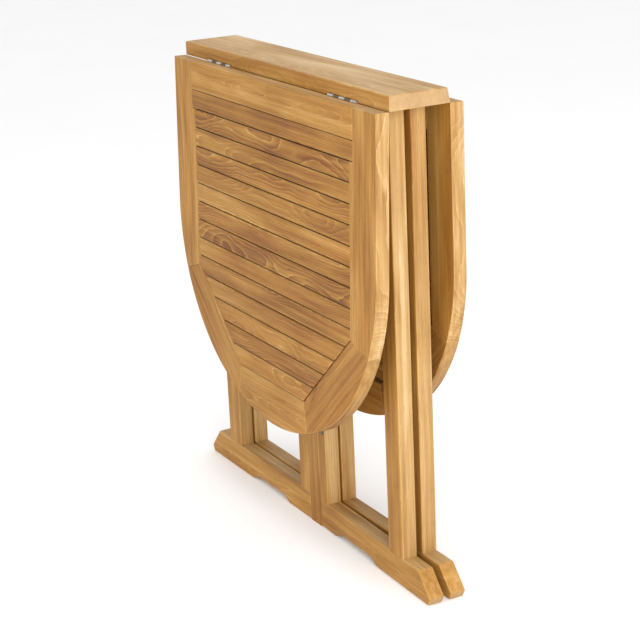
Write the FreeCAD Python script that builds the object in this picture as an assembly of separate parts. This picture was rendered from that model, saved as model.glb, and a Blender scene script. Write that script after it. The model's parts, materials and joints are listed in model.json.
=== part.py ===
import FreeCAD
import Part
import math
import os

# Slatted hardwood gateleg table, folded: a narrow centre board, two hanging drop leaves and,
# under the board, two layers of legs. In each layer one half is fixed and the other half is a
# gate that turns on a post near the middle. All lengths are in millimetres, all angles in degrees.
# X runs along the board, -Y is the front, Z is up and the floor is at Z = 0.
# Back pieces are built as front ones and then turned half a turn about Z. The two posts stand
# back to back, a little to the +X side of the middle.

# Overall sizes
table_height = 740.0
top_length = 636.0
board_width = 97.0
board_thickness = 22.0
board_back_slope = 4.5
leaf_depth = 539.0
foot_half_length = 365.0

# Leaf frame
leaf_thickness = 22.0
leaf_gap = 0.5
leaf_lean = 2.0
hinge_rail_height = 46.4
stile_width = 62.0
strip_width = 9.0
strip_thickness = 5.0
side_curve_rise = 299.0
knee_inset = 23.0
knee_rise = 187.0
inner_knee_rise = 204.0
ankle_inset = 206.0
ankle_rise = 19.5
inner_ankle_inset = 214.0
bottom_board_height = 68.0

# Slats and the battens behind them
slat_pitch = 30.3
slat_gap = 2.0
slat_end_gap = 2.0
slat_thickness = 14.0
tongue_length = 8.0
tongue_thickness = 7.0
batten_offset = 42.0
batten_width = 40.0

# Legs
layer_thickness = 25.0
layer_gap = 3.0
post_left_x = -3.0
post_right_x = 31.3
left_stile_end = -34.5
right_stile_end = 55.0
upright_outer_x = 290.0
upright_width = 41.5
top_rail_height = 40.0
tenon_thickness = 8.0
tenon_shoulder = 6.0
upright_tenon_length = 30.0
rail_tenon_length = 15.0

# Foot rails
foot_height = 46.0
toe_rise = 11.0
toe_run = 6.0
toe_slope_run = 31.0
foot_pad_length = 152.0
pad_slope_run = 18.0
centre_pad_half_length = 78.0
foot_hollow_height = 9.0

# Clearances of the gates, and how far the front gate stands open
gate_ajar = 1.5
gate_seam = 0.6
gate_floor_gap = 1.0
gate_top_gap = 1.0

# Hinges, all of one size
hinge_length = 80.0
hinge_plate_width = 20.0
hinge_plate_thickness = 1.5
knuckle_count = 5
knuckle_radius = 3.0
knuckle_end_gap = 0.6
barrel_standoff = 0.2
knuckle_clearance = 0.4
pin_radius = 1.25
pin_clearance = 0.05
leaf_hinge_centre_x = 194.0
gate_hinge_from_floor = 204.0
gate_hinge_from_top = 118.0
hinge_screw_spacing = 28.0
hinge_screw_offset = 12.5

# Screws: shank radius, head radius, length and the slot in the head
screw_radius = 1.6
screw_head_radius = 3.2
screw_head_depth = 1.6
screw_slot = 0.8
hinge_screw_length = 14.0
batten_screw_length = 15.0
board_screw_radius = 2.2
board_screw_head_radius = 4.5
board_screw_length = 38.0
board_screw_counterbore = 15.0
board_screw_inset = 40.0

# Rounding of the worked edges
board_edge_radius = 2.5
leg_edge_radius = 2.4
leaf_edge_radius = 1.5

half_length = top_length / 2
half_width = board_width / 2
underside = table_height - board_thickness
layer_inner = layer_gap / 2
layer_outer = layer_inner + layer_thickness
gate_hinge_heights = (gate_hinge_from_floor, underside - gate_hinge_from_top)
leaf_outer_y = -half_width - leaf_thickness
X_DIR = FreeCAD.Vector(1, 0, 0)
Y_DIR = FreeCAD.Vector(0, 1, 0)
Z_DIR = FreeCAD.Vector(0, 0, 1)
leaf_hinge_axis = FreeCAD.Vector(0, -half_width, underside)


# ---- shapes -------------------------------------------------------------------------------

def block(x0, x1, y0, y1, z0, z1):
    return Part.makeBox(x1 - x0, y1 - y0, z1 - z0, FreeCAD.Vector(x0, y0, z0))


def rod(radius, start, direction, length):
    return Part.makeCylinder(radius, length, start, direction)


def profile_prism(edges, y0, y1):
    """Solid between y0 and y1 whose outline is a closed loop of edges in the plane Y = 0."""
    face = Part.Face(Part.Wire(edges))
    face.translate(Y_DIR * y0)
    return face.extrude(Y_DIR * (y1 - y0))


def loop(points):
    """Straight edges round a closed loop of points."""
    return [Part.LineSegment(a, b).toShape() for a, b in zip(points, points[1:] + points[:1])]


def in_face(edge):
    return edge.BoundBox.YLength < 1e-3


def upright_edge(edge):
    return edge.BoundBox.XLength < 1e-3 and edge.BoundBox.YLength < 1e-3


def lengthwise_edge(edge):
    return edge.BoundBox.YLength < 1e-3 and edge.BoundBox.ZLength < 1e-3


def rounded(shape, radius, picked):
    return shape.makeFillet(radius, [edge for edge in shape.Edges if picked(edge)])


def cut_all(shape, tools):
    for tool in tools:
        shape = shape.cut(tool)
    return shape


def mirrored_x(shape):
    return shape.mirror(FreeCAD.Vector(0, 0, 0), X_DIR)


def turned(shape, centre, axis, angle):
    copy = shape.copy()
    copy.rotate(centre, axis, angle)
    return copy


def half_turned(shape):
    return turned(shape, FreeCAD.Vector(0, 0, 0), Z_DIR, 180)


def group(solids):
    return Part.makeCompound(solids)


# ---- screws and hinges --------------------------------------------------------------------

def screw_body(place, inward, length, radius=screw_radius, head_radius=screw_head_radius):
    head = Part.makeCone(head_radius, radius, screw_head_depth, place, inward)
    return head.fuse(rod(radius, place, inward, length)).removeSplitter()


def screw(place, inward, across, length, radius=screw_radius, head_radius=screw_head_radius):
    """Countersunk screw whose slot runs along the direction across."""
    slot = Part.makeBox(2 * head_radius, screw_slot, screw_slot)
    slot.translate(FreeCAD.Vector(-head_radius, -screw_slot / 2, 0))
    side = inward.cross(across)
    turn = FreeCAD.Matrix(across.x, side.x, inward.x, place.x,
                          across.y, side.y, inward.y, place.y,
                          across.z, side.z, inward.z, place.z, 0, 0, 0, 1)
    return screw_body(place, inward, length, radius, head_radius).cut(slot.transformGeometry(turn))


def hinge_half(plate, start, along, own, other, bore_radius):
    """One hinge plate with its own knuckles; start is the end of the barrel, along its axis."""
    pitch = hinge_length / knuckle_count
    for number in other:
        plate = plate.cut(rod(knuckle_radius + knuckle_clearance, start + along * (number * pitch),
                              along, pitch))
    for number in own:
        plate = plate.fuse(rod(knuckle_radius, start + along * (number * pitch + knuckle_end_gap / 2),
                               along, pitch - knuckle_end_gap))
    return plate.cut(rod(bore_radius, start, along, hinge_length)).removeSplitter()


outer_knuckles = range(0, knuckle_count, 2)
inner_knuckles = range(1, knuckle_count, 2)


def barrel_recess(start, along):
    margin = 2 * knuckle_end_gap
    return rod(knuckle_radius + knuckle_clearance, start - along * margin, along,
               hinge_length + 2 * margin)


def screw_stations(centre):
    return [centre - hinge_screw_spacing, centre, centre + hinge_screw_spacing]


def leaf_hinge(centre_x):
    """Hinge under a corner of the board: one plate let into the board, one into the leaf."""
    x0 = centre_x - hinge_length / 2
    x1 = centre_x + hinge_length / 2
    start = leaf_hinge_axis + X_DIR * x0
    board_pocket = block(x0, x1, -half_width, -half_width + hinge_plate_width,
                         underside, underside + hinge_plate_thickness)
    leaf_pocket = block(x0, x1, -half_width - hinge_plate_thickness, -half_width,
                        underside - hinge_plate_width, underside)
    board_places = [FreeCAD.Vector(x, -half_width + hinge_screw_offset, underside)
                    for x in screw_stations(centre_x)]
    leaf_places = [FreeCAD.Vector(x, -half_width, underside - hinge_screw_offset)
                   for x in screw_stations(centre_x)]
    board_holes = [screw_body(place, Z_DIR, hinge_screw_length) for place in board_places]
    leaf_holes = [screw_body(place, -Y_DIR, hinge_screw_length) for place in leaf_places]
    board_plate = hinge_half(board_pocket, start, X_DIR, outer_knuckles, inner_knuckles, pin_radius)
    leaf_plate = hinge_half(leaf_pocket, start, X_DIR, inner_knuckles, outer_knuckles,
                            pin_radius + pin_clearance)
    return {
        "fixed_plate": cut_all(board_plate, board_holes),
        "moving_plate": cut_all(leaf_plate, leaf_holes),
        "pin": rod(pin_radius, start, X_DIR, hinge_length),
        "fixed_screws": [screw(place, Z_DIR, X_DIR, hinge_screw_length) for place in board_places],
        "moving_screws": [screw(place, -Y_DIR, X_DIR, hinge_screw_length) for place in leaf_places],
        "fixed_cuts": [board_pocket, barrel_recess(start, X_DIR)] + board_holes,
        "moving_cuts": [leaf_pocket, barrel_recess(start, X_DIR)] + leaf_holes,
    }


def gate_hinge_axis(post_edge_x):
    """Point at floor level on the axis of the gate that is hung from this edge of a post."""
    return FreeCAD.Vector(post_edge_x + gate_seam / 2, -layer_outer - knuckle_radius - barrel_standoff, 0)


def gate_hinge(axis, centre_z):
    """Hinge laid on the faces of the post and of the gate's stile, across the seam."""
    z0 = centre_z - hinge_length / 2
    z1 = centre_z + hinge_length / 2
    axis_x = axis.x
    face = -layer_outer
    start = axis + Z_DIR * z0
    post_blank = block(axis_x - hinge_plate_width, axis_x, face - hinge_plate_thickness, face, z0, z1)
    gate_blank = block(axis_x, axis_x + hinge_plate_width, face - hinge_plate_thickness, face, z0, z1)
    post_plate = hinge_half(post_blank, start, Z_DIR, outer_knuckles, inner_knuckles, pin_radius)
    gate_plate = hinge_half(gate_blank, start, Z_DIR, inner_knuckles, outer_knuckles,
                            pin_radius + pin_clearance)
    post_places = [FreeCAD.Vector(axis_x - hinge_screw_offset, face - hinge_plate_thickness, z)
                   for z in screw_stations(centre_z)]
    gate_places = [place + X_DIR * (2 * hinge_screw_offset) for place in post_places]
    post_holes = [screw_body(place, Y_DIR, hinge_screw_length) for place in post_places]
    gate_holes = [screw_body(place, Y_DIR, hinge_screw_length) for place in gate_places]
    return {
        "fixed_plate": cut_all(post_plate, post_holes),
        "moving_plate": cut_all(gate_plate, gate_holes),
        "pin": rod(pin_radius, start, Z_DIR, hinge_length),
        "fixed_screws": [screw(place, Y_DIR, Z_DIR, hinge_screw_length) for place in post_places],
        "moving_screws": [screw(place, Y_DIR, Z_DIR, hinge_screw_length) for place in gate_places],
        "fixed_cuts": post_holes,
        "moving_cuts": gate_holes,
    }


def gathered(hinges, key):
    """All entries of one kind from several hinges, in one list."""
    found = []
    for hinge in hinges:
        entry = hinge[key]
        found.extend(entry if isinstance(entry, list) else [entry])
    return found


# ---- legs ---------------------------------------------------------------------------------

def foot_rail(inner_x, lift):
    """Rail along the floor, from inner_x out to the sloping toe, hollowed between its pads."""
    toe_x = foot_half_length - toe_run
    pad_x = toe_x - foot_pad_length
    corners = [
        (inner_x, lift),
        (centre_pad_half_length, lift),
        (centre_pad_half_length + pad_slope_run, lift + foot_hollow_height),
        (pad_x - pad_slope_run, lift + foot_hollow_height),
        (pad_x, lift),
        (toe_x, lift),
        (foot_half_length, lift + toe_rise),
        (foot_half_length - toe_slope_run, foot_height),
        (inner_x, foot_height),
    ]
    rail = profile_prism(loop([FreeCAD.Vector(x, 0, z) for x, z in corners]),
                         -layer_outer, -layer_inner)
    return rounded(rail, leg_edge_radius, in_face)


def leg(x0, x1, z0, z1):
    return rounded(block(x0, x1, -layer_outer, -layer_inner, z0, z1), leg_edge_radius, upright_edge)


def foot_tenon(x0, x1):
    middle = -(layer_inner + layer_outer) / 2
    return block(x0 + tenon_shoulder, x1 - tenon_shoulder,
                 middle - tenon_thickness / 2, middle + tenon_thickness / 2,
                 foot_height - upright_tenon_length, foot_height)


def top_rail_tenons(x0, x1, z1):
    """The two tenons at the ends of a top rail that runs from x0 to x1 under height z1."""
    middle = -(layer_inner + layer_outer) / 2
    low = z1 - top_rail_height + tenon_shoulder
    high = z1 - tenon_shoulder
    sides = (middle - tenon_thickness / 2, middle + tenon_thickness / 2)
    return [block(x0 - rail_tenon_length, x0, sides[0], sides[1], low, high),
            block(x1, x1 + rail_tenon_length, sides[0], sides[1], low, high)]


def leg_half(inner_x, stile_end, lift, top):
    """Foot rail, stile, upright and top rail of one half of a layer, reaching along +X."""
    upright_x = upright_outer_x - upright_width
    tenons = top_rail_tenons(stile_end, upright_x, top)
    stile_tenon = foot_tenon(inner_x, stile_end)
    upright_tenon = foot_tenon(upright_x, upright_outer_x)
    rail = block(stile_end, upright_x, -layer_outer, -layer_inner, top - top_rail_height, top)
    return {
        "foot_rail": cut_all(foot_rail(inner_x, lift), [stile_tenon, upright_tenon]),
        "stile": leg(inner_x, stile_end, foot_height, top).fuse(stile_tenon).cut(tenons[0]),
        "upright": leg(upright_x, upright_outer_x, foot_height, top).fuse(upright_tenon).cut(tenons[1]),
        "top_rail": rounded(rail, leg_edge_radius, lengthwise_edge).fuse(tenons[0]).fuse(tenons[1]),
    }


def board_screw_places(stile_end):
    """Undersides of the screws that go up through a fixed top rail, near both of its ends."""
    upright_x = upright_outer_x - upright_width
    height = underside - top_rail_height + board_screw_counterbore
    middle = -(layer_inner + layer_outer) / 2
    return [FreeCAD.Vector(-x, middle, height)
            for x in (stile_end + board_screw_inset, upright_x - board_screw_inset)]


# ---- leaf ---------------------------------------------------------------------------------

def on_leaf(x, drop):
    """Point on the hanging leaf: x along the board, drop down from the hinge axis."""
    return FreeCAD.Vector(x, 0, underside - drop)


def leaf_prism(edges, depth0, depth1):
    """Solid between two depths behind the leaf's outer face."""
    return profile_prism(edges, leaf_outer_y + depth0, leaf_outer_y + depth1)


def arc_from(start, heading, end):
    """Arc that leaves start along heading and ends at end."""
    chord = end - start
    normal = FreeCAD.Vector(-heading.z, 0, heading.x)
    radius = chord.dot(chord) / (2 * chord.dot(normal))
    centre = start + normal * radius
    middle = (start + end) * 0.5 - centre
    crown = centre + middle.normalize() * abs(radius)
    return Part.Arc(start, crown, end).toShape()


stile_x = half_length - stile_width
strip_x = stile_x - strip_width
bottom_board_drop = leaf_depth - bottom_board_height
side_curve = on_leaf(half_length, leaf_depth - side_curve_rise)
knee = on_leaf(half_length - knee_inset, leaf_depth - knee_rise)
ankle = on_leaf(half_length - ankle_inset, leaf_depth - ankle_rise)
tip = on_leaf(0, leaf_depth)
inner_knee = on_leaf(strip_x, leaf_depth - inner_knee_rise)
inner_ankle = on_leaf(half_length - inner_ankle_inset, bottom_board_drop)
mitre_slope = (knee.z - inner_knee.z) / (knee.x - inner_knee.x)
stile_foot = FreeCAD.Vector(stile_x, 0, inner_knee.z + mitre_slope * strip_width)


def line(a, b):
    return Part.LineSegment(a, b).toShape()


def side_arc():
    return arc_from(side_curve, FreeCAD.Vector(0, 0, -1), knee)


def diagonal_arc():
    """Outer edge of the diagonal, going on from the side's curve without a corner."""
    chord = knee - side_curve
    chord.normalize()
    heading = chord * (2 * chord.dot(FreeCAD.Vector(0, 0, -1))) - FreeCAD.Vector(0, 0, -1)
    return arc_from(knee, heading, ankle)


def opening_loop(side_x, end_gap, start_drop, end_drop):
    """Field of the slats: straight sides at side_x, then the diagonals moved in by end_gap."""
    run = inner_ankle - inner_knee
    run.normalize()
    inward = FreeCAD.Vector(run.z, 0, -run.x)
    base = inner_knee + inward * end_gap

    def diagonal_x(z):
        return base.x + run.x * (z - base.z) / run.z

    corner_z = base.z + (side_x - base.x) * run.z / run.x
    half = [FreeCAD.Vector(side_x, 0, underside - start_drop),
            FreeCAD.Vector(side_x, 0, corner_z),
            FreeCAD.Vector(diagonal_x(underside - end_drop), 0, underside - end_drop)]
    other = [FreeCAD.Vector(-point.x, 0, point.z) for point in reversed(half)]
    return loop(half + other)


def tongue_groove():
    field = opening_loop(stile_x + tongue_length, -tongue_length, hinge_rail_height,
                         bottom_board_drop)
    return leaf_prism(field, strip_thickness, strip_thickness + tongue_thickness)


def leaf_stile():
    edges = [
        line(on_leaf(stile_x, leaf_gap), on_leaf(half_length, leaf_gap)),
        line(on_leaf(half_length, leaf_gap), side_curve),
        side_arc(),
        line(knee, stile_foot),
        line(stile_foot, on_leaf(stile_x, leaf_gap)),
    ]
    return rounded(leaf_prism(edges, 0, leaf_thickness), leaf_edge_radius, in_face)


def leaf_diagonal():
    edges = [
        line(inner_knee, knee),
        diagonal_arc(),
        line(ankle, inner_ankle),
        line(inner_ankle, inner_knee),
    ]
    return rounded(leaf_prism(edges, 0, leaf_thickness), leaf_edge_radius, in_face)


def leaf_bottom_board():
    far_ankle = FreeCAD.Vector(-ankle.x, 0, ankle.z)
    far_inner = FreeCAD.Vector(-inner_ankle.x, 0, inner_ankle.z)
    edges = [
        line(inner_ankle, ankle),
        Part.Arc(ankle, tip, far_ankle).toShape(),
        line(far_ankle, far_inner),
        line(far_inner, inner_ankle),
    ]
    return rounded(leaf_prism(edges, 0, leaf_thickness), leaf_edge_radius, in_face)


def leaf_hinge_rail():
    rail = block(-stile_x, stile_x, leaf_outer_y, -half_width,
                 underside - hinge_rail_height, underside - leaf_gap)
    return rounded(rail, leaf_edge_radius, in_face)


def leaf_strip(first_drop):
    """Thin strip let in over the ends of the slats, along a stile."""
    corners = [on_leaf(strip_x, first_drop), on_leaf(stile_x, first_drop), stile_foot, inner_knee]
    return leaf_prism(loop(corners), 0, strip_thickness)


def slat_ends():
    """Top and bottom drop of every slat; the field is shared out in equal pitches."""
    field = bottom_board_drop - hinge_rail_height
    count = round(field / slat_pitch)
    pitch = field / count
    return [(hinge_rail_height + number * pitch + slat_gap / 2,
             hinge_rail_height + (number + 1) * pitch - slat_gap / 2) for number in range(count)]


def leaf_slat(top_drop, bottom_drop, face_x):
    """Slat with a tongue at each end; its outer face stops at face_x or at the diagonal."""
    width = 2 * half_length
    cutter = block(-width, width, leaf_outer_y, -half_width,
                   underside - bottom_drop, underside - top_drop)
    field = (hinge_rail_height, bottom_board_drop)
    face = leaf_prism(opening_loop(face_x, slat_end_gap, *field), 0, strip_thickness)
    body = leaf_prism(opening_loop(stile_x, slat_end_gap, *field), strip_thickness, slat_thickness)
    slat = face.common(cutter).fuse(body.common(cutter)).fuse(tongue_groove().common(cutter))
    return rounded(slat.removeSplitter(), leaf_edge_radius,
                   lambda edge: in_face(edge) and abs(edge.BoundBox.YMin - leaf_outer_y) < 1e-3)


def leaf_batten():
    batten = block(batten_offset - batten_width / 2, batten_offset + batten_width / 2,
                   leaf_outer_y + slat_thickness, -half_width,
                   underside - bottom_board_drop, underside - hinge_rail_height)
    return rounded(batten, leaf_edge_radius, upright_edge)


def leaf_parts():
    """All pieces of the leaf, hanging plumb at the front."""
    hinges = [leaf_hinge(side * leaf_hinge_centre_x) for side in (-1, 1)]
    ends = slat_ends()
    groove = tongue_groove()
    stile = leaf_stile().cut(groove)
    diagonal = leaf_diagonal().cut(groove)
    strip = leaf_strip(ends[1][0] - slat_gap / 2)
    knee_drop = underside - inner_knee.z
    slats = [leaf_slat(top, bottom, stile_x if number == 0 else strip_x)
             for number, (top, bottom) in enumerate(ends)]
    places = [FreeCAD.Vector(side * batten_offset, -half_width, underside - (top + bottom) / 2)
              for top, bottom in ends for side in (-1, 1)]
    holes = group([screw_body(place, -Y_DIR, batten_screw_length) for place in places])
    straight = [slat for slat, (top, bottom) in zip(slats, ends) if bottom < knee_drop]
    angled = [slat for slat, (top, bottom) in zip(slats, ends) if bottom >= knee_drop]
    battens = [leaf_batten(), mirrored_x(leaf_batten())]
    return {
        "hinge_rail": cut_all(leaf_hinge_rail(), gathered(hinges, "moving_cuts")),
        "left_stile": mirrored_x(stile),
        "right_stile": stile,
        "left_diagonal": mirrored_x(diagonal),
        "right_diagonal": diagonal,
        "bottom_board": leaf_bottom_board(),
        "edge_strips": group([strip, mirrored_x(strip)]),
        "straight_slats": group([slat.cut(holes) for slat in straight]),
        "angled_slats": group([slat.cut(holes) for slat in angled]),
        "battens": group([batten.cut(holes) for batten in battens]),
        "batten_screws": group([screw(place, -Y_DIR, X_DIR, batten_screw_length)
                                for place in places]),
        "hinge_plates": group(gathered(hinges, "moving_plate")),
        "hinge_screws": group(gathered(hinges, "moving_screws")),
    }


# ---- whole table --------------------------------------------------------------------------

def centre_board(cuts):
    """Board whose back side is planed off square, so that its top is narrower than its underside."""
    section = [FreeCAD.Vector(-half_length, -half_width, underside),
               FreeCAD.Vector(-half_length, half_width, underside),
               FreeCAD.Vector(-half_length, half_width - board_back_slope, table_height),
               FreeCAD.Vector(-half_length, -half_width, table_height)]
    board = Part.Face(Part.Wire(loop(section))).extrude(X_DIR * top_length)
    board = rounded(board, board_edge_radius,
                    lambda edge: edge.BoundBox.ZLength < 1e-3 and edge.BoundBox.ZMin > underside)
    return cut_all(board, cuts)


def leg_layer(post_x0, post_x1, fixed_stile_end, gate_stile_end):
    """One layer in front: a post, the fixed half to its -X side and the gate to its +X side."""
    axis = gate_hinge_axis(post_x1)
    hinges = [gate_hinge(axis, height) for height in gate_hinge_heights]
    fixed = {name: mirrored_x(piece)
             for name, piece in leg_half(-post_x0, -fixed_stile_end, 0, underside).items()}
    gate = leg_half(post_x1 + gate_seam, gate_stile_end, gate_floor_gap, underside - gate_top_gap)
    gate["stile"] = cut_all(gate["stile"], gathered(hinges, "moving_cuts"))
    gate["hinge_plates"] = group(gathered(hinges, "moving_plate"))
    gate["hinge_screws"] = group(gathered(hinges, "moving_screws"))

    places = board_screw_places(-fixed_stile_end)
    board_holes = [screw_body(place, Z_DIR, board_screw_length, board_screw_radius,
                              board_screw_head_radius) for place in places]
    counterbores = [rod(board_screw_head_radius, place - Z_DIR * board_screw_counterbore, Z_DIR,
                        board_screw_counterbore) for place in places]
    fixed["top_rail"] = cut_all(fixed["top_rail"], board_holes + counterbores)
    return {
        "post": cut_all(leg(post_x0, post_x1, 0, underside), gathered(hinges, "fixed_cuts")),
        "post_plates": group(gathered(hinges, "fixed_plate")),
        "fixed": fixed,
        "gate": gate,
        "board_holes": board_holes,
        "board_screws": [screw(place, Z_DIR, X_DIR, board_screw_length, board_screw_radius,
                               board_screw_head_radius) for place in places],
        "pins": gathered(hinges, "pin"),
        "post_screws": gathered(hinges, "fixed_screws"),
    }


def build():
    front = leg_layer(post_left_x, post_right_x, left_stile_end, right_stile_end)
    back = leg_layer(-post_right_x, -post_left_x, -right_stile_end, -left_stile_end)
    leaf_hinges = [leaf_hinge(side * leaf_hinge_centre_x) for side in (-1, 1)]
    leaf_cuts = gathered(leaf_hinges, "fixed_cuts")
    leaf_pins = gathered(leaf_hinges, "pin")
    leaf_screws = gathered(leaf_hinges, "fixed_screws")
    board_cuts = leaf_cuts + front["board_holes"]
    board_cuts += [half_turned(cut) for cut in leaf_cuts + back["board_holes"]]
    nodes = {
        "centre_board": centre_board(board_cuts),
        "post_spacer": block(post_left_x, post_right_x, -layer_inner, layer_inner, 0, underside),
    }
    for name, ahead, behind in [
        ("board_screws", front["board_screws"], back["board_screws"]),
        ("leaf_hinge_pins", leaf_pins, leaf_pins),
        ("leaf_hinge_board_screws", leaf_screws, leaf_screws),
        ("gate_hinge_pins", front["pins"], back["pins"]),
        ("gate_hinge_post_screws", front["post_screws"], back["post_screws"]),
    ]:
        nodes[name] = group(ahead + [half_turned(solid) for solid in behind])

    board_plates = group(gathered(leaf_hinges, "fixed_plate"))
    leaf = leaf_parts()
    for side, layer in (("front_", front), ("back_", back)):
        pieces = {"post": layer["post"],
                  "leaf_hinge_board_plates": board_plates,
                  "gate_hinge_post_plates": layer["post_plates"]}
        pieces.update({"fixed_" + name: piece for name, piece in layer["fixed"].items()})
        moving = {"gate_" + name: piece for name, piece in layer["gate"].items()}
        moving.update({"leaf_" + name: piece for name, piece in leaf.items()})
        for name, piece in {**pieces, **moving}.items():
            nodes[side + name] = piece if side == "front_" else half_turned(piece)

    for name in front["gate"]:
        nodes["front_gate_" + name] = turned(nodes["front_gate_" + name],
                                             gate_hinge_axis(post_right_x), Z_DIR, -gate_ajar)
    for name in leaf:
        nodes["front_leaf_" + name] = turned(nodes["front_leaf_" + name],
                                             leaf_hinge_axis, X_DIR, -leaf_lean)
    return nodes


# The front leaf leans out a little, so the whole table moves back to stay centred on the origin.
lean = math.radians(leaf_lean)
front_reach = half_width + leaf_thickness * math.cos(lean) + leaf_depth * math.sin(lean)
back_reach = half_width + leaf_thickness
centring = Y_DIR * ((front_reach - back_reach) / 2)

os.makedirs("parts", exist_ok=True)
for node, shape in build().items():
    placed = shape.copy()
    placed.translate(centring)
    placed.exportStep("parts/" + node + ".step")
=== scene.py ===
"""Looks of the folded gateleg table: oiled teak, steel hinges and brass screws."""

import json
import math
import random

import bpy
from mathutils import Matrix, Vector


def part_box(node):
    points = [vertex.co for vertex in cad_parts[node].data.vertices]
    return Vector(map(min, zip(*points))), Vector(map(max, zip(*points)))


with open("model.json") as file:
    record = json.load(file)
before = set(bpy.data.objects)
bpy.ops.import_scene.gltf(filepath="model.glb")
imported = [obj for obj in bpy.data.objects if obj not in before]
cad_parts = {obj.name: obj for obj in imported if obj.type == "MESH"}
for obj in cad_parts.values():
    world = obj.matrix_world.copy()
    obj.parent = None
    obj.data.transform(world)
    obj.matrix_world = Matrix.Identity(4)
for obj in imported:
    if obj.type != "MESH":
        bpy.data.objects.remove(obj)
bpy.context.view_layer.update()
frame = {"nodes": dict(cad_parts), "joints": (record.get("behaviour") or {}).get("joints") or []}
joints = {joint["name"]: joint for joint in frame["joints"]}

# Leaf layout, from the hinge axes and the slat nodes: slats of equal pitch below a hinge rail.
LEAN = math.radians(2.0)
SLAT_GAP = 0.002
STRAIGHT_SLATS = 9
HINGE_RAIL = 0.0464

# Camera: where it looks, relative to the middle of the object's box, and from where.
VIEW_AZIMUTH = math.radians(61.51)
VIEW_ELEVATION = math.radians(17.9)
VIEW_ROLL = math.radians(-2.64)
VIEW_DISTANCE = 2.8713
VIEW_TARGET = Vector((-0.1068, 0.0718, 0.2939))
LENS = 98.56
SENSOR = 36.0

# Teak colours, linear: pale line, golden body, brown late wood, dark streak, pore and sawn
# end, then the painted light: how much paler and bluer the narrow faces and flat tops are painted.
PALE = (0.60, 0.370, 0.130, 1.0)
GOLD = (0.395, 0.200, 0.042, 1.0)
BROWN = (0.285, 0.124, 0.020, 1.0)
STREAK = (0.17, 0.060, 0.012, 1.0)
PORE = (0.10, 0.036, 0.008, 1.0)
END_GRAIN = (0.40, 0.290, 0.170, 1.0)
PAINTED_LIGHT_GAIN = (1.12, 1.38, 2.60, 1.0)
WHITE = (1.0, 1.0, 1.0, 1.0)
REDDENING = (1.0, 0.84, 0.62, 1.0)

# Figure of the wood: rings per metre, and how far the pith wanders to the side, in metres.
RINGS_PER_METRE = 470.0
PITH_WANDER = 0.034

# How much each pattern moves the lightness, which runs from 0 to 1.
OWN_RING_WEIGHT = 0.10
CLOUD_WEIGHT = 0.80
STREAK_WEIGHT = 0.85
FIBRE_WEIGHT = 0.28

# Planks that the slats are cut from: how they differ in grain offset, and how deep their pith lies.
SLAT_SPREAD = (17.0, 0.028, 0.08)
SLAT_PITH_DEPTH = 0.062
FRONT_SLAT_SEED = 3.0
BACK_SLAT_SEED = 40.0

# Metal colours, each with its tarnish.
STEEL = ((0.60, 0.57, 0.53, 1.0), (0.10, 0.08, 0.06, 1.0))
# The dark steel's dark brown is partly the hinge steel's own dull colour and partly painted shade,
# for hinges that lie in the shade under the leaves and in the joints.
DARK_STEEL_AND_SHADE = ((0.16, 0.13, 0.10, 1.0), (0.05, 0.035, 0.025, 1.0))
BRASS = ((0.50, 0.35, 0.15, 1.0), (0.16, 0.10, 0.045, 1.0))

# Share of the usual specular reflection that oiled wood gives.
WOOD_SPECULAR = 0.22


# ---- node helpers -------------------------------------------------------------------------

def add(tree, kind, inputs=None, **settings):
    """New shader node with its settings made and its inputs set or linked."""
    made = tree.nodes.new(kind)
    for name, value in settings.items():
        setattr(made, name, value)
    for key, value in (inputs or {}).items():
        if isinstance(value, bpy.types.NodeSocket):
            tree.links.new(value, made.inputs[key])
        else:
            made.inputs[key].default_value = value
    return made


def maths(tree, operation, first, second=0.0, third=0.0, clamp=False):
    inputs = {0: first, 1: second, 2: third}
    return add(tree, "ShaderNodeMath", inputs, operation=operation, use_clamp=clamp).outputs[0]


def vector_maths(tree, operation, first, second):
    node = add(tree, "ShaderNodeVectorMath", {0: first, 1: second}, operation=operation)
    return node.outputs[0]


def noise(tree, vector, scale, detail=2.0, roughness=0.5, distortion=0.0):
    inputs = {"Vector": vector, "Scale": scale, "Detail": detail, "Roughness": roughness,
              "Distortion": distortion}
    return add(tree, "ShaderNodeTexNoise", inputs)


def stretched(tree, vector, along, across):
    """Coordinates for a pattern that is long along the grain and narrow across it."""
    return vector_maths(tree, "MULTIPLY", vector, (along, across, across))


def between(tree, value, low, high):
    """0 below low, 1 above high and smooth between."""
    node = add(tree, "ShaderNodeMapRange", {"Value": value, "From Min": low, "From Max": high},
               interpolation_type="SMOOTHSTEP")
    return node.outputs["Result"]


def mix_colour(tree, factor, first, second, blend="MIX"):
    node = add(tree, "ShaderNodeMix", data_type="RGBA", blend_type=blend)
    sockets = (node.inputs[0], node.inputs[6], node.inputs[7])
    for socket, value in zip(sockets, (factor, first, second)):
        if isinstance(value, bpy.types.NodeSocket):
            tree.links.new(value, socket)
        else:
            socket.default_value = value
    return node.outputs[2]


def ramp(tree, factor, stops):
    node = add(tree, "ShaderNodeValToRGB", {"Fac": factor})
    elements = node.color_ramp.elements
    while len(elements) < len(stops):
        elements.new(0.5)
    for element, (position, colour) in zip(elements, stops):
        element.position = position
        element.color = colour
    return node.outputs["Color"]


def group_socket(tree, name, kind, direction, value=None):
    socket = tree.interface.new_socket(name=name, socket_type=kind, in_out=direction)
    if value is not None:
        socket.default_value = value


# ---- teak ---------------------------------------------------------------------------------

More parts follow.
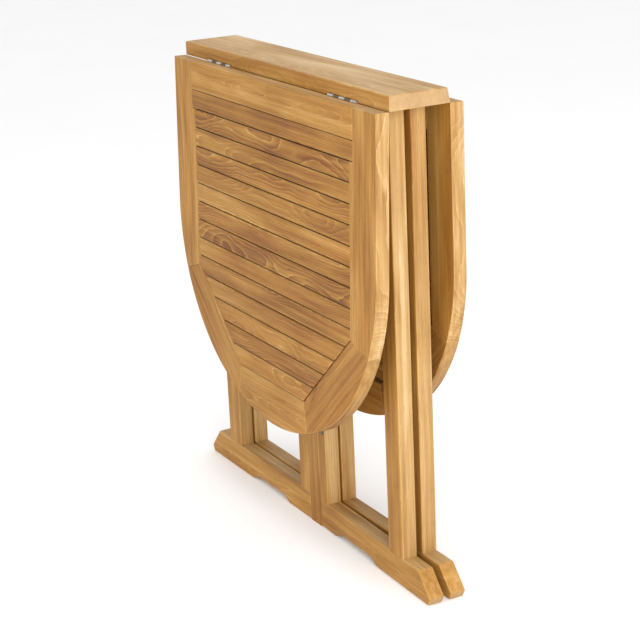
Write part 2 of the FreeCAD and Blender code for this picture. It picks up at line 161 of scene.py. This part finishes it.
def build_teak_group():
    """Solid teak: growth rings round a wandering pith, streaks, fibres, pores, worn edges and
    painted light on the narrow faces.

    Coordinates are in metres with X along the grain and Y through the thickness.
    """
    tree = bpy.data.node_groups.new("teak", "ShaderNodeTree")
    group_socket(tree, "Grain", "NodeSocketVector", "INPUT")
    group_socket(tree, "Facing", "NodeSocketVector", "INPUT")
    group_socket(tree, "Tone", "NodeSocketFloat", "INPUT", 0.5)
    group_socket(tree, "Redness", "NodeSocketFloat", "INPUT", 0.5)
    group_socket(tree, "Figure", "NodeSocketFloat", "INPUT", 0.5)
    group_socket(tree, "Color", "NodeSocketColor", "OUTPUT")
    group_socket(tree, "Roughness", "NodeSocketFloat", "OUTPUT")
    group_socket(tree, "Normal", "NodeSocketVector", "OUTPUT")
    given = tree.nodes.new("NodeGroupInput")
    result = tree.nodes.new("NodeGroupOutput")
    grain = given.outputs["Grain"]

    # Growth rings, cut at a slant by a pith that wanders along the plank.
    wander = noise(tree, stretched(tree, grain, 4.0, 8.0), 1.0, 2.0, 0.4)
    wander_by = vector_maths(tree, "MULTIPLY", vector_maths(
        tree, "SUBTRACT", wander.outputs["Color"], (0.5, 0.5, 0.5)), (0.0, PITH_WANDER, PITH_WANDER))
    bent = vector_maths(tree, "ADD", grain, wander_by)
    parts = add(tree, "ShaderNodeSeparateXYZ", {"Vector": bent})
    radius = maths(tree, "SQRT", maths(tree, "ADD",
                                       maths(tree, "POWER", parts.outputs["Y"], 2.0),
                                       maths(tree, "POWER", parts.outputs["Z"], 2.0)))
    ragged = noise(tree, stretched(tree, grain, 18.0, 260.0), 1.0, 2.0, 0.6)
    phase = maths(tree, "ADD", maths(tree, "MULTIPLY", radius, RINGS_PER_METRE),
                  maths(tree, "MULTIPLY", ragged.outputs["Fac"], 0.5))
    ring = maths(tree, "FRACT", phase)
    ring_body = ramp(tree, ring, [
        (0.0, (0.22, 0.22, 0.22, 1.0)), (0.06, (1.0, 1.0, 1.0, 1.0)),
        (0.20, (0.58, 0.58, 0.58, 1.0)), (0.60, (0.44, 0.44, 0.44, 1.0)),
        (1.0, (0.22, 0.22, 0.22, 1.0))])
    own_ring = add(tree, "ShaderNodeTexWhiteNoise",
                   {"W": maths(tree, "FLOOR", phase)}, noise_dimensions="1D")

    # Broad clouds, long streaks and fine fibres.
    cloud = noise(tree, stretched(tree, grain, 5.0, 26.0), 1.0, 2.0, 0.5, 0.6).outputs["Fac"]
    streak = noise(tree, stretched(tree, grain, 3.0, 150.0), 1.0, 3.0, 0.6).outputs["Fac"]
    fibre = noise(tree, stretched(tree, grain, 22.0, 1100.0), 1.0, 2.0, 0.65).outputs["Fac"]
    pore_noise = noise(tree, stretched(tree, grain, 75.0, 1500.0), 1.0, 1.0, 0.5).outputs["Fac"]
    pore = between(tree, pore_noise, 0.62, 0.74)

    # One lightness value from all of them; 0.5 is the golden body.
    level = maths(tree, "MULTIPLY_ADD", maths(tree, "SUBTRACT", ring_body, 0.5),
                  given.outputs["Figure"], 0.5)
    level = maths(tree, "MULTIPLY_ADD",
                  maths(tree, "SUBTRACT", own_ring.outputs["Value"], 0.5), OWN_RING_WEIGHT, level)
    level = maths(tree, "MULTIPLY_ADD", maths(tree, "SUBTRACT", cloud, 0.5), CLOUD_WEIGHT, level)
    level = maths(tree, "MULTIPLY_ADD", maths(tree, "SUBTRACT", streak, 0.5), STREAK_WEIGHT, level)
    level = maths(tree, "MULTIPLY_ADD", maths(tree, "SUBTRACT", fibre, 0.5), FIBRE_WEIGHT, level)
    level = maths(tree, "ADD", level, maths(tree, "SUBTRACT", given.outputs["Tone"], 0.5),
                  clamp=True)
    wood = ramp(tree, level, [(0.0, STREAK), (0.27, BROWN), (0.56, GOLD), (1.0, PALE)])

    # Slow drift between yellow and red brown.
    drift = noise(tree, stretched(tree, grain, 2.2, 9.0), 1.0, 1.0).outputs["Fac"]
    red = maths(tree, "MULTIPLY", between(tree, drift, 0.42, 0.72), given.outputs["Redness"])
    wood = mix_colour(tree, red, wood, mix_colour(tree, 1.0, wood, REDDENING, "MULTIPLY"))
    wood = mix_colour(tree, maths(tree, "MULTIPLY", pore, 0.38), wood, PORE)

    # Sawn ends are paler and greyer; rounded edges are rubbed a little lighter.
    facing = add(tree, "ShaderNodeSeparateXYZ", {"Vector": given.outputs["Facing"]})
    on_end = between(tree, maths(tree, "ABSOLUTE", facing.outputs["X"]), 0.70, 0.92)
    wood = mix_colour(tree, maths(tree, "MULTIPLY", on_end, 0.55), wood, END_GRAIN)
    # Painted light: faces across the width (narrow edges, and the tops of flat boards) are painted
    # paler and bluer for the light they catch from the near-end key and the top lamp.
    painted_light_faces = between(tree, maths(tree, "ABSOLUTE", facing.outputs["Z"]), 0.62, 0.90)
    wood = mix_colour(tree, painted_light_faces, wood, mix_colour(tree, 1.0, wood, PAINTED_LIGHT_GAIN, "MULTIPLY"))
    depth = maths(tree, "ABSOLUTE", facing.outputs["Y"])
    side = maths(tree, "SQRT", maths(tree, "SUBTRACT", 1.0001, maths(tree, "POWER", depth, 2.0)))
    edge = between(tree, maths(tree, "MULTIPLY", depth, side), 0.22, 0.48)
    rub = maths(tree, "MULTIPLY", edge, between(tree, cloud, 0.35, 0.65))
    wood = mix_colour(tree, maths(tree, "MULTIPLY", rub, 0.30), wood, PALE)

    # Oiled surface: late wood shines more than the pores and the sawn ends.
    gloss_noise = noise(tree, stretched(tree, grain, 9.0, 60.0), 1.0, 2.0).outputs["Fac"]
    rough = maths(tree, "MULTIPLY_ADD", gloss_noise, 0.20, 0.40)
    rough = maths(tree, "MULTIPLY_ADD", pore, 0.16, rough)
    rough = maths(tree, "MULTIPLY_ADD", on_end, 0.14, rough)
    rough = maths(tree, "MULTIPLY_ADD", edge, -0.05, rough, clamp=True)

    height = maths(tree, "MULTIPLY_ADD", fibre, 0.55, maths(tree, "MULTIPLY", ring_body, 0.25))
    height = maths(tree, "MULTIPLY_ADD", pore, -0.8, height)
    bump = add(tree, "ShaderNodeBump", {"Strength": 0.35, "Distance": 0.0004, "Height": height})

    tree.links.new(wood, result.inputs["Color"])
    tree.links.new(rough, result.inputs["Roughness"])
    tree.links.new(bump.outputs["Normal"], result.inputs["Normal"])
    return tree


def new_material(name):
    material = bpy.data.materials.new(name)
    material.use_nodes = True
    material.node_tree.nodes.clear()
    return material


def finish_material(tree, colour, roughness, normal, metallic=0.0, specular=WOOD_SPECULAR):
    shader = add(tree, "ShaderNodeBsdfPrincipled",
                 {"Base Color": colour, "Roughness": roughness, "Normal": normal,
                  "Metallic": metallic, "IOR": 1.46, "Specular IOR Level": specular})
    add(tree, "ShaderNodeOutputMaterial", {"Surface": shader.outputs["BSDF"]})


def grain_turn(angle):
    """Turn about Y that brings a grain direction at this angle above X onto X."""
    return (0.0, angle, 0.0)


def teak_material(name, teak, node, angle, cut, tone=0.5, redness=0.5, figure=0.5):
    """Teak for one member. cut is how far the pith lies behind the face and beside the middle."""
    draw = random.Random(name)
    material = new_material(name)
    tree = material.node_tree
    low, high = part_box(node)
    centre = Matrix.Rotation(angle, 3, "Y") @ ((low + high) / 2)
    depth, beside = cut
    shift = Vector((draw.uniform(-9.0, 9.0), depth * draw.uniform(0.8, 1.25),
                    beside * draw.choice((-1.0, 1.0)) + draw.uniform(-0.01, 0.01)))
    coordinates = tree.nodes.new("ShaderNodeTexCoord")
    place = add(tree, "ShaderNodeMapping",
                {"Vector": coordinates.outputs["Object"], "Rotation": grain_turn(angle),
                 "Location": shift - centre}, vector_type="POINT")
    facing = add(tree, "ShaderNodeMapping",
                 {"Vector": coordinates.outputs["Normal"], "Rotation": grain_turn(angle)},
                 vector_type="VECTOR")
    wood = add(tree, "ShaderNodeGroup", node_tree=teak)
    tree.links.new(place.outputs["Vector"], wood.inputs["Grain"])
    tree.links.new(facing.outputs["Vector"], wood.inputs["Facing"])
    wood.inputs["Tone"].default_value = tone + draw.uniform(-0.06, 0.06)
    wood.inputs["Redness"].default_value = redness
    wood.inputs["Figure"].default_value = figure
    finish_material(tree, wood.outputs["Color"], wood.outputs["Roughness"], wood.outputs["Normal"])
    return material


def slat_material(side, teak):
    """Teak for all the slats of a leaf: each slat is cut from another plank."""
    material = new_material(side + "_slat_teak")
    tree = material.node_tree
    low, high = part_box("back_leaf_straight_slats")
    pitch = (high.z - low.z + SLAT_GAP) / STRAIGHT_SLATS
    axis = Vector(joints[side + "_leaf_hinge"]["pos_m"])
    lean = LEAN if side == "front" else 0.0
    coordinates = tree.nodes.new("ShaderNodeTexCoord")
    moved = vector_maths(tree, "SUBTRACT", coordinates.outputs["Object"], axis)
    upright = add(tree, "ShaderNodeMapping", {"Vector": moved, "Rotation": (lean, 0.0, 0.0)},
                  vector_type="POINT").outputs["Vector"]
    facing = add(tree, "ShaderNodeMapping",
                 {"Vector": coordinates.outputs["Normal"], "Rotation": (lean, 0.0, 0.0)},
                 vector_type="VECTOR").outputs["Vector"]
    height = add(tree, "ShaderNodeSeparateXYZ", {"Vector": upright}).outputs["Z"]
    drop = maths(tree, "MULTIPLY_ADD", height, -1.0 / pitch, -HINGE_RAIL / pitch)
    number = maths(tree, "FLOOR", drop)
    seed = maths(tree, "ADD", number, FRONT_SLAT_SEED if side == "front" else BACK_SLAT_SEED)
    draw = add(tree, "ShaderNodeTexWhiteNoise", {"W": seed}, noise_dimensions="1D")
    other = add(tree, "ShaderNodeTexWhiteNoise", {"W": maths(tree, "ADD", seed, 71.3)},
                noise_dimensions="1D")
    spread = vector_maths(tree, "MULTIPLY", draw.outputs["Color"], SLAT_SPREAD)
    grain = vector_maths(tree, "ADD", upright, spread)
    level = maths(tree, "MULTIPLY", maths(tree, "ADD", number, 0.5), pitch)
    centred = add(tree, "ShaderNodeCombineXYZ",
                  {"Y": SLAT_PITH_DEPTH, "Z": maths(tree, "ADD", level, HINGE_RAIL - 0.04)})
    grain = vector_maths(tree, "ADD", grain, centred.outputs["Vector"])
    wood = add(tree, "ShaderNodeGroup", node_tree=teak)
    tree.links.new(grain, wood.inputs["Grain"])
    tree.links.new(facing, wood.inputs["Facing"])
    tree.links.new(maths(tree, "MULTIPLY_ADD", other.outputs["Value"], 0.24, 0.24),
                   wood.inputs["Tone"])
    split = add(tree, "ShaderNodeSeparateColor", {"Color": other.outputs["Color"]})
    tree.links.new(maths(tree, "MULTIPLY_ADD", split.outputs["Red"], 0.6, 0.2),
                   wood.inputs["Redness"])
    tree.links.new(maths(tree, "MULTIPLY_ADD", split.outputs["Green"], 0.40, 0.38),
                   wood.inputs["Figure"])
    finish_material(tree, wood.outputs["Color"], wood.outputs["Roughness"], wood.outputs["Normal"])
    return material


# ---- metal --------------------------------------------------------------------------------

def metal_material(name, colour, dark, roughness):
    """Satin metal with drawn lines, handling marks and a little tarnish."""
    material = new_material(name)
    tree = material.node_tree
    coordinates = tree.nodes.new("ShaderNodeTexCoord").outputs["Object"]
    drawn = noise(tree, vector_maths(tree, "MULTIPLY", coordinates, (60.0, 2600.0, 2600.0)), 1.0,
                  2.0, 0.6).outputs["Fac"]
    marks = noise(tree, coordinates, 420.0, 4.0, 0.65).outputs["Fac"]
    tarnish = between(tree, marks, 0.45, 0.75)
    shade = mix_colour(tree, maths(tree, "MULTIPLY", tarnish, 0.6), colour, dark)
    rough = maths(tree, "MULTIPLY_ADD", marks, 0.25, roughness - 0.12)
    bump = add(tree, "ShaderNodeBump",
               {"Strength": 0.25, "Distance": 0.0001,
                "Height": maths(tree, "MULTIPLY_ADD", marks, 0.6, drawn)})
    finish_material(tree, shade, rough, bump.outputs["Normal"], metallic=1.0, specular=0.5)
    return material


# ---- which piece gets what ----------------------------------------------------------------

LONGWAYS = 0.0
UPWARDS = math.radians(90.0)
FLAT_SAWN = (0.030, 0.0)
RIFT_SAWN = (0.05, 0.045)
QUARTER_SAWN = (0.015, 0.11)


def diagonal_angle(node):
    """Slope of a leaf's diagonal, from the corners of its box; it rises towards the stile."""
    low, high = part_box(node)
    rise = math.atan2(high.z - low.z, high.x - low.x)
    return rise if low.x + high.x > 0 else -rise


def wood_of(name):
    """Grain angle, cut, tone, redness and figure of the member that a node is."""
    if name == "centre_board":
        return LONGWAYS, FLAT_SAWN, 0.53, 0.20, 0.30
    if name.endswith("hinge_rail"):
        return LONGWAYS, FLAT_SAWN, 0.50, 0.50, 0.32
    if name.endswith("diagonal"):
        return diagonal_angle(name), RIFT_SAWN, 0.34, 0.45, 0.32
    if name.endswith("bottom_board"):
        return LONGWAYS, FLAT_SAWN, 0.40, 0.30, 0.36
    if "_leaf_" in name and name.endswith("stile"):
        return UPWARDS, QUARTER_SAWN, 0.50, 0.40, 0.30
    if name.endswith("foot_rail") or name.endswith("top_rail"):
        return LONGWAYS, FLAT_SAWN, 0.42, 0.25, 0.32
    if name.endswith("edge_strips"):
        return UPWARDS, QUARTER_SAWN, 0.56, 0.30, 0.26
    # Uprights and other members: the low tone is partly teak's own colour and partly painted shade,
    # for the shade the leaves cast on the uprights.
    return UPWARDS, RIFT_SAWN, 0.41, 0.20, 0.30


def dress(nodes):
    """Gives every CAD node its material; hinges and screws are metal, all else is teak."""
    teak = build_teak_group()
    steel = metal_material("hinge_steel", *STEEL, 0.34)
    dark_steel_and_shade = metal_material("dark_steel_and_shade", *DARK_STEEL_AND_SHADE, 0.45)
    brass = metal_material("screw_brass", *BRASS, 0.40)
    slats = {side: slat_material(side, teak) for side in ("front", "back")}
    for name, piece in sorted(nodes.items()):
        if name.endswith("screws"):
            material = brass
        # Gate hinges and leaf hinge plates take the dark steel, whose dark brown is partly painted
        # shade.
        elif "gate_hinge" in name or name.endswith("leaf_hinge_plates"):
            material = dark_steel_and_shade
        elif name.endswith("plates") or name.endswith("pins"):
            material = steel
        elif name.endswith("slats"):
            material = slats[name.split("_")[0]]
        else:
            angle, cut, tone, redness, figure = wood_of(name)
            material = teak_material(name + "_teak", teak, name, angle, cut, tone, redness, figure)
        for slot in piece.material_slots:
            slot.material = material


dress(frame["nodes"])


# ---- studio -------------------------------------------------------------------------------

def floor():
    """Wide pale floor, far larger than the view, so that no edge shows."""
    half = 12.0
    mesh = bpy.data.meshes.new("floor")
    mesh.from_pydata([(-half, -half, 0), (half, -half, 0), (half, half, 0), (-half, half, 0)],
                     [], [(0, 1, 2, 3)])
    plane = bpy.data.objects.new("floor", mesh)
    bpy.context.scene.collection.objects.link(plane)
    material = new_material("floor_white")
    tree = material.node_tree
    spots = noise(tree, tree.nodes.new("ShaderNodeTexCoord").outputs["Object"], 3.0, 2.0)
    shade = mix_colour(tree, spots.outputs["Fac"], (0.90, 0.90, 0.90, 1.0), (0.93, 0.93, 0.93, 1.0))
    shader = add(tree, "ShaderNodeBsdfPrincipled", {"Base Color": shade, "Roughness": 0.9})
    add(tree, "ShaderNodeOutputMaterial", {"Surface": shader.outputs["BSDF"]})
    mesh.materials.append(material)


def area_light(name, place, aim, size, power, colour):
    data = bpy.data.lights.new(name, "AREA")
    data.shape = "DISK"
    data.size = size
    data.energy = power
    data.color = colour
    lamp = bpy.data.objects.new(name, data)
    bpy.context.scene.collection.objects.link(lamp)
    lamp.location = place
    lamp.rotation_mode = "QUATERNION"
    lamp.rotation_quaternion = (Vector(aim) - Vector(place)).to_track_quat("-Z", "Y")


def studio():
    """Bright white surroundings, a large soft key from the near end and three weaker fills."""
    world = bpy.data.worlds.new("studio")
    bpy.context.scene.world = world
    world.use_nodes = True
    background = world.node_tree.nodes["Background"]
    background.inputs["Color"].default_value = WHITE
    background.inputs["Strength"].default_value = 1.0
    middle = (0.0, 0.0, 0.4)
    area_light("key", (3.2, -0.5, 1.9), middle, 1.6, 60.0, (0.97, 0.99, 1.0))
    area_light("front_fill", (-0.4, -2.6, 2.5), (0.0, 0.0, 0.6), 1.6, 7.0, (1.0, 0.99, 0.97))
    area_light("near_fill", (2.9, -1.45, 0.8), middle, 1.0, 44.0, (1.0, 0.96, 0.93))
    area_light("top", (0.2, 0.2, 3.4), middle, 2.0, 11.0, (1.0, 1.0, 1.0))


def camera():
    """Camera at the given azimuth, elevation and roll, aimed at the target."""
    forward = Vector((-math.sin(VIEW_AZIMUTH) * math.cos(VIEW_ELEVATION),
                      math.cos(VIEW_AZIMUTH) * math.cos(VIEW_ELEVATION),
                      -math.sin(VIEW_ELEVATION)))
    right = Vector((math.cos(VIEW_AZIMUTH), math.sin(VIEW_AZIMUTH), 0.0))
    up = right.cross(forward)
    rolled_right = math.cos(VIEW_ROLL) * right + math.sin(VIEW_ROLL) * up
    rolled_up = math.cos(VIEW_ROLL) * up - math.sin(VIEW_ROLL) * right
    data = bpy.data.cameras.new("camera")
    data.lens = LENS
    data.sensor_width = SENSOR
    data.dof.use_dof = False
    data.clip_end = 60.0
    made = bpy.data.objects.new("camera", data)
    bpy.context.scene.collection.objects.link(made)
    turn = Matrix((rolled_right, rolled_up, -forward)).transposed().to_4x4()
    place = VIEW_TARGET - forward * VIEW_DISTANCE
    made.matrix_world = Matrix.Translation(place) @ turn
    bpy.context.scene.camera = made


floor()
studio()
camera()
bpy.context.scene.view_settings.view_transform = "Standard"
